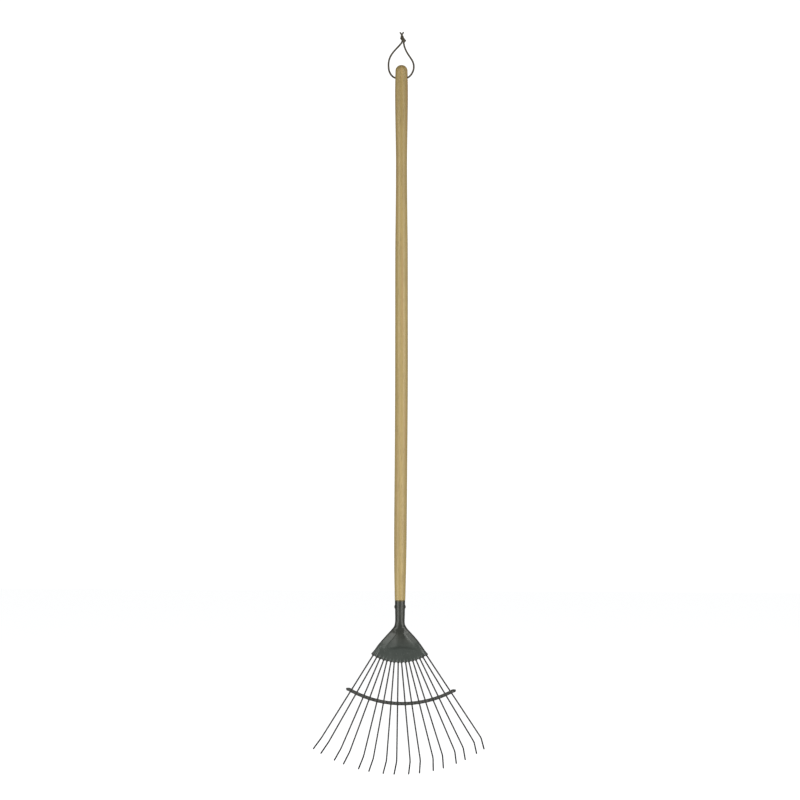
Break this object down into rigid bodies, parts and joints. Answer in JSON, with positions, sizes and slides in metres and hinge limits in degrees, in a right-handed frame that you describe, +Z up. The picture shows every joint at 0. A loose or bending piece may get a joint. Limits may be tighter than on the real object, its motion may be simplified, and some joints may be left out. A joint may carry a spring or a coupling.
{
  "type": "leaf rake",
  "caption": "Long-handled leaf rake with a turned ash handle, pressed steel head, sprung wire tines, a curved brace and a knotted hanging thong.",
  "frame": {"origin": "the point inside the hanging thong, just under its knot, where a hook holds it; above the crown of the handle", "axes": "+Z up along the handle, +X across the fan of tines to the viewer's right, -Y towards the side that the tine tips point to"},
  "size_m": [0.3855, 0.0686, 1.6653],
  "materials": {
    "ash": "oiled ash with fine lengthwise grain, satin",
    "coated_steel": "dark green-grey coating, satin with a fine hammered texture",
    "tine_steel": "dark grey coated spring wire, satin, worn at the tips",
    "thong": "dark olive-brown waxed leather thong"
  },
  "bodies": {
    "rake": {"handle": "ash", "head_shell": "coated_steel", "rear_plate": "coated_steel", "socket_rivet": "coated_steel", "brace_front": "coated_steel", "brace_rear": "coated_steel", "pair_rivet_1": "coated_steel", "pair_rivet_2": "coated_steel", "pair_rivet_3": "coated_steel", "pair_rivet_4": "coated_steel", "pair_rivet_5": "coated_steel", "pair_rivet_6": "coated_steel", "pair_rivet_7": "coated_steel", "pair_rivet_8": "coated_steel", "brace_rivet_1": "coated_steel", "brace_rivet_2": "coated_steel", "brace_rivet_3": "coated_steel", "brace_rivet_4": "coated_steel", "brace_rivet_5": "coated_steel", "brace_rivet_6": "coated_steel", "brace_rivet_7": "coated_steel", "tine_pair_1": "tine_steel", "tine_pair_2": "tine_steel", "tine_pair_3": "tine_steel", "tine_pair_4": "tine_steel", "tine_pair_5": "tine_steel", "tine_pair_6": "tine_steel", "tine_pair_7": "tine_steel", "tine_pair_8": "tine_steel"},
    "loop": {"hanging_cord": "thong", "cord_knot": "thong"}
  },
  "joints": [
    {"name": "loop_swing", "type": "hinge", "parent": "rake", "child": "loop", "pos_m": [0, 0, -0.078], "axis": [1, 0, 0], "range_deg": [-160, 160]}
  ]
}
